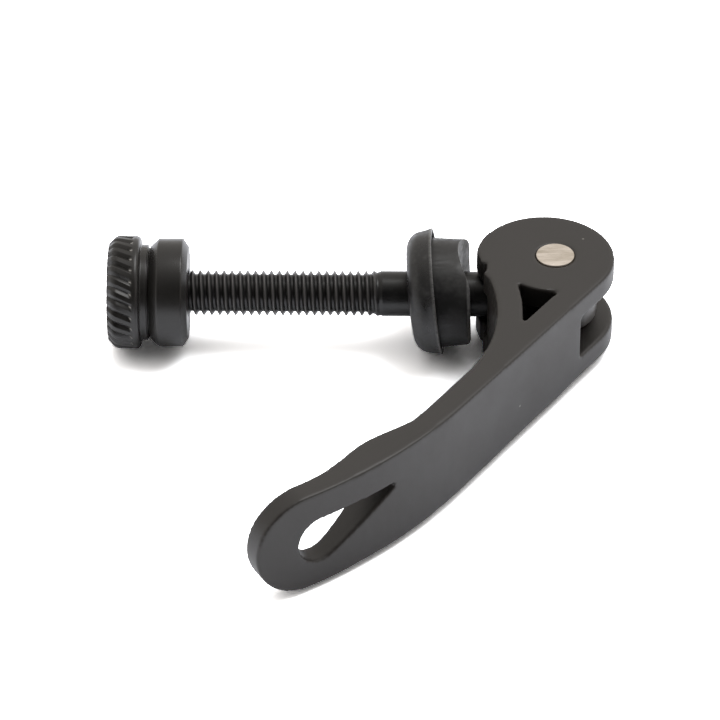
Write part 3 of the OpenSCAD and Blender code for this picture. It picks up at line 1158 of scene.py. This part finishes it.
@dataclass
class CamLever:
    """Forged and milled cam lever: the CAD form with its edges broken as a tumbled part has them."""

    nodes: dict[str, bpy.types.Object]
    # fine enough for the notch beside the cam, and few enough faces for one piece
    grid: float = 0.2
    passes: int = 12
    # how far each pass moves a point towards the middle of its neighbours
    pull: float = 0.5

    def build(self) -> None:
        """Builds the lever and puts it in the place of its CAD node."""
        piece = merged_copy(self.nodes["lever"], "forked_cam_lever")
        skin = piece.modifiers.new("even skin", "REMESH")
        skin.mode = "VOXEL"
        skin.voxel_size = self.grid * MM
        skin.adaptivity = 0.0
        tumbled = piece.modifiers.new("tumbled edges", "SMOOTH")
        tumbled.factor = self.pull
        tumbled.iterations = self.passes
        applied(piece)
        piece.data.shade_smooth()
        dress(piece, "lever", LEVER_FINISH.material(), "lever")


@dataclass
class PivotPin:
    """Steel pin pressed flush into both cheeks."""

    edge_bevel: float = 0.12
    bevel_steps: int = 3
    bevel_profile: float = 0.6
    around: int = 128

    def build(self) -> None:
        """Builds the pin and puts it in the place of its CAD node."""
        low, high = (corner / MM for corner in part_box("pivot_pin"))
        radius = (high.x - low.x) / 2
        height = high.z - low.z
        mesh_data = bmesh.new()
        bmesh.ops.create_cone(
            mesh_data, cap_ends=True, segments=self.around, radius1=radius * MM, radius2=radius * MM,
            depth=height * MM)
        middle = middle_mm("pivot_pin") * MM
        rims = [
            edge for edge in mesh_data.edges if edge.verts[0].co.z * edge.verts[1].co.z > 0]
        bmesh.ops.bevel(
            mesh_data, geom=rims, offset=self.edge_bevel * MM, segments=self.bevel_steps,
            profile=self.bevel_profile, affect="EDGES")
        bmesh.ops.recalc_face_normals(mesh_data, faces=mesh_data.faces)
        mesh = finished_mesh(mesh_data, "faced_pivot_pin")
        mesh.transform(Matrix.Translation(middle))
        piece = add_object("faced_pivot_pin", mesh)
        smooth(piece)
        dress(piece, "lever", PIN_FINISH.material(), "pivot_pin")


# Floor, light and camera


@dataclass(frozen=True)
class Opening:
    """Dim opening in the tent's front: its elevation, inner and outer half angles, and its light."""

    elevation: float
    inner: float
    outer: float
    light: float


@dataclass
class Studio:
    """White paper, a light tent, one soft lamp and a long lens that looks down at the bolt.

    Turn, tilt and roll are the camera's, in degrees.
    """

    camera_place: tuple[float, float, float] = (1.42, -457.371, 340.215)
    turn: float = 0.990
    tilt: float = 37.489
    roll: float = 0.281
    focal_pixels: float = 4500.0
    sensor: float = 36.0
    # half the side of the floor and the end of the camera's sight, in metres
    floor_reach: float = 1.5
    sight: float = 10.0
    floor_colour: str = "f4f4f4"
    floor_roughness: float = 0.9
    # overexposed where it is seen or mirrored, so that only real shadow stays grey
    floor_seen: tuple[float, float, float] = (4.7, 4.82, 5.0)
    floor_mirrored: tuple[float, float, float] = (1.8, 1.87, 2.02)
    # deeper shadow where something lies close over the paper
    contact_reach: float = 14.0
    contact_contrast: float = 0.5
    contact_samples: int = 12
    tent_colour: str = "fffaf4"
    tent_light: float = 0.84
    # the opening as it lights the paper and as the surfaces mirror it
    low_front: Opening = Opening(15.0, 40.0, 75.0, 0.03)
    room: Opening = Opening(31.0, 4.0, 66.0, 0.03)
    # from the middle of the object, and the side of the lamp's square, in metres, and its power in watts
    lamp_offset: tuple[float, float, float] = (0.2, 0.12, 0.52)
    lamp_size: float = 0.3
    lamp_power: float = 1.3

    def camera(self) -> None:
        """Places the camera at the photograph's angle."""
        turn, tilt, roll = (math.radians(angle) for angle in (self.turn, self.tilt, self.roll))
        right = Vector((math.cos(turn), math.sin(turn), 0))
        ahead = Vector((
            -math.sin(turn) * math.cos(tilt), math.cos(turn) * math.cos(tilt), -math.sin(tilt)))
        up = right.cross(ahead)
        rolled_right = right * math.cos(roll) - up * math.sin(roll)
        rolled_up = right * math.sin(roll) + up * math.cos(roll)
        data = bpy.data.cameras.new("camera")
        data.sensor_width = self.sensor
        data.sensor_fit = "HORIZONTAL"
        data.lens = self.sensor * self.focal_pixels / PHOTO_PIXELS
        data.clip_end = self.sight
        camera = bpy.data.objects.new("camera", data)
        matrix = Matrix((rolled_right, rolled_up, -ahead)).transposed().to_4x4()
        matrix.translation = Vector(self.camera_place) * MM
        camera.matrix_world = matrix
        bpy.context.scene.collection.objects.link(camera)
        bpy.context.scene.camera = camera

    def floor(self, height: float) -> None:
        """Lays the floor under the object.

        Args:
            height: Height of the floor, in metres.
        """
        mesh_data = bmesh.new()
        bmesh.ops.create_grid(mesh_data, x_segments=1, y_segments=1, size=self.floor_reach)
        mesh = finished_mesh(mesh_data, "floor")
        mesh.transform(Matrix.Translation((0, 0, height)))
        floor = add_object("floor", mesh)
        floor.data.materials.append(self.paper())
        floor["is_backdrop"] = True

    def paper(self) -> bpy.types.Material:
        """Builds white paper, which looks overexposed but lights the object as plain paper does.

        Returns:
            The material.
        """
        material = bpy.data.materials.new("white paper")
        material.use_nodes = True
        tree = material.node_tree
        paper = tree.nodes["Principled BSDF"]
        paper.inputs["Base Color"].default_value = linear(self.floor_colour)
        paper.inputs["Roughness"].default_value = self.floor_roughness
        paper.inputs["Specular IOR Level"].default_value = 0.0
        rays = add_node(tree, "ShaderNodeLightPath")
        gain = add_node(
            tree, "ShaderNodeMix", {"data_type": "RGBA"},
            {0: rays.outputs["Is Glossy Ray"], 6: (*self.floor_seen, 1.0), 7: (*self.floor_mirrored, 1.0)})
        nearby = add_node(
            tree, "ShaderNodeAmbientOcclusion", {"samples": self.contact_samples},
            {"Distance": self.contact_reach * MM})
        contact = add_node(
            tree, "ShaderNodeMath", {"operation": "POWER"},
            {0: nearby.outputs["AO"], 1: self.contact_contrast})
        shaded = add_node(
            tree, "ShaderNodeVectorMath", {"operation": "SCALE"},
            {"Vector": gain.outputs[2], "Scale": contact.outputs[0]})
        bright = add_node(
            tree, "ShaderNodeBsdfDiffuse", None, {"Color": shaded.outputs["Vector"], "Roughness": 0.0})
        seen = add_node(
            tree, "ShaderNodeMath", {"operation": "MAXIMUM"},
            {0: rays.outputs["Is Camera Ray"], 1: rays.outputs["Is Glossy Ray"]})
        seen_through = add_node(
            tree, "ShaderNodeMath", {"operation": "MAXIMUM"},
            {0: seen.outputs[0], 1: rays.outputs["Is Transmission Ray"]})
        shown = add_node(
            tree, "ShaderNodeMixShader", None,
            {0: seen_through.outputs[0], 1: paper.outputs[0], 2: bright.outputs[0]})
        tree.links.new(shown.outputs[0], tree.nodes["Material Output"].inputs["Surface"])
        return material

    def opening(self, tree: bpy.types.NodeTree, way: Opening) -> bpy.types.NodeSocket:
        """Gives the tent's light by direction, dim inside an opening of its front.

        Args:
            tree: Node tree of the world.
            way: Where the opening lies and how wide it is.

        Returns:
            Strength of the light.
        """
        elevation = math.radians(way.elevation)
        toward = (0.0, -math.cos(elevation), math.sin(elevation))
        direction = add_node(tree, "ShaderNodeTexCoord").outputs["Generated"]
        facing = add_node(
            tree, "ShaderNodeVectorMath", {"operation": "DOT_PRODUCT"}, {0: direction, 1: toward})
        light = add_node(
            tree, "ShaderNodeMapRange", {"clamp": True},
            {"Value": facing.outputs["Value"], "From Min": math.cos(math.radians(way.outer)),
             "From Max": math.cos(math.radians(way.inner)), "To Min": self.tent_light, "To Max": way.light})
        return light.outputs["Result"]

    def world(self) -> None:
        """Puts the object in a white tent whose front is open to a dim room."""
        world = bpy.data.worlds.new("light tent")
        bpy.context.scene.world = world
        world.use_nodes = True
        tree = world.node_tree
        background = tree.nodes["Background"]
        rays = add_node(tree, "ShaderNodeLightPath")
        lit = add_node(
            tree, "ShaderNodeMix", {"data_type": "FLOAT"},
            {0: rays.outputs["Is Glossy Ray"], 2: self.opening(tree, self.low_front),
             3: self.opening(tree, self.room)})
        strength = add_node(
            tree, "ShaderNodeMix", {"data_type": "FLOAT"},
            {0: rays.outputs["Is Camera Ray"], 2: lit.outputs[0], 3: 1.0})
        colour = add_node(
            tree, "ShaderNodeMix", {"data_type": "RGBA"},
            {0: rays.outputs["Is Camera Ray"], 6: linear(self.tent_colour), 7: (1.0, 1.0, 1.0, 1.0)})
        tree.links.new(colour.outputs[2], background.inputs["Color"])
        tree.links.new(strength.outputs[0], background.inputs["Strength"])

    def lamp(self, target: Vector) -> None:
        """Adds the square soft lamp overhead.

        Args:
            target: What it points at, in metres.
        """
        offset = Vector(self.lamp_offset)
        data = bpy.data.lights.new("overhead", "AREA")
        data.shape = "SQUARE"
        data.size = self.lamp_size
        data.energy = self.lamp_power
        lamp = bpy.data.objects.new("overhead", data)
        lamp.location = target + offset
        lamp.rotation_euler = (-offset).to_track_quat("-Z", "Y").to_euler()
        bpy.context.scene.collection.objects.link(lamp)

    def build(self) -> None:
        """Sets up camera, floor, world and lamp."""
        low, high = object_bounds()
        middle = (Vector(low) + Vector(high)) / 2
        self.camera()
        self.floor(low[2])
        self.world()
        self.lamp(middle)


def main() -> None:
    """Builds the clamp bolt's looks in order."""
    logging.basicConfig(level=logging.INFO, format="%(name)s: %(message)s")
    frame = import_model()
    nodes = frame["nodes"]
    bpy.context.scene.view_settings.view_transform = "Standard"
    Studio().build()
    EyeBolt().build()
    nut_material = NUT_FINISH.material()
    ThumbNut().build(nut_material)
    Collar().build(nut_material)
    Washers(nodes).build()
    CamLever(nodes).build()
    PivotPin().build()


if __name__ == "__main__":
    main()
